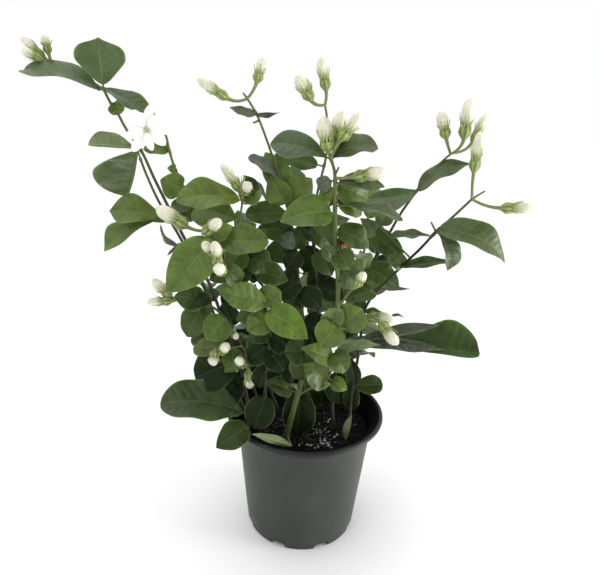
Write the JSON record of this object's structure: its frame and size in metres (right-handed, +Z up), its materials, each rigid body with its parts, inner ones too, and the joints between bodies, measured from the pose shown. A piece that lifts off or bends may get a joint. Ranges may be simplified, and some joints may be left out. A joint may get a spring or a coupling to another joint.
{
  "type": "potted flowering shrub",
  "caption": "Potted arabian jasmine: leafy canes rising and arching from a round nursery pot of dark soil, with an open white flower and cream buds at their tips.",
  "frame": {"origin": "on the ground, at the middle of the flat face on which the pot stands", "axes": "+Z up, -Y towards the side that the picture shows, +X to that view's right"},
  "size_m": [0.3883, 0.2037, 0.4106],
  "materials": {
    "pot_plastic": "satin",
    "potting_soil": "rough",
    "foliage": "glossy",
    "bud": "satin",
    "petal": "satin"
  },
  "bodies": {
    "root": {"pot": "pot_plastic", "soil": "potting_soil", "flower_open": "petal", "cane_left_tall": "foliage", "cane_left_leafy": "foliage", "cane_flower": "foliage", "cane_left_middle": "foliage", "cane_middle": "foliage", "cane_middle_back": "foliage", "cane_front": "foliage", "cane_right_upper": "foliage", "cane_right_low": "foliage", "shoot_left_front": "foliage", "shoot_left_low": "foliage", "cane_back_left": "foliage", "cane_back_middle": "foliage", "cane_back_right": "foliage", "bud_left_tall_1": "bud", "bud_left_tall_2": "bud", "bud_left_tall_3": "bud", "bud_left_middle_1": "bud", "bud_left_middle_2": "bud", "bud_middle_1": "bud", "bud_middle_2": "bud", "bud_middle_back_1": "bud", "bud_middle_back_2": "bud", "bud_middle_back_3": "bud", "bud_front_1": "bud", "bud_front_2": "bud", "bud_front_3": "bud", "bud_front_4": "bud", "bud_front_5": "bud", "bud_right_upper_1": "bud", "bud_right_upper_2": "bud", "bud_right_upper_3": "bud", "bud_right_low_1": "bud", "bud_right_low_2": "bud", "bud_right_low_3": "bud", "bud_right_low_4": "bud", "bud_left_front_1": "bud", "bud_left_front_2": "bud", "bud_left_front_3": "bud", "bud_left_front_4": "bud", "bud_left_front_5": "bud", "bud_left_low_1": "bud", "bud_left_low_2": "bud", "bud_left_low_3": "bud", "bud_left_low_4": "bud", "bud_left_low_5": "bud", "bud_left_low_6": "bud", "bud_left_low_7": "bud"}
  },
  "joints": []
}
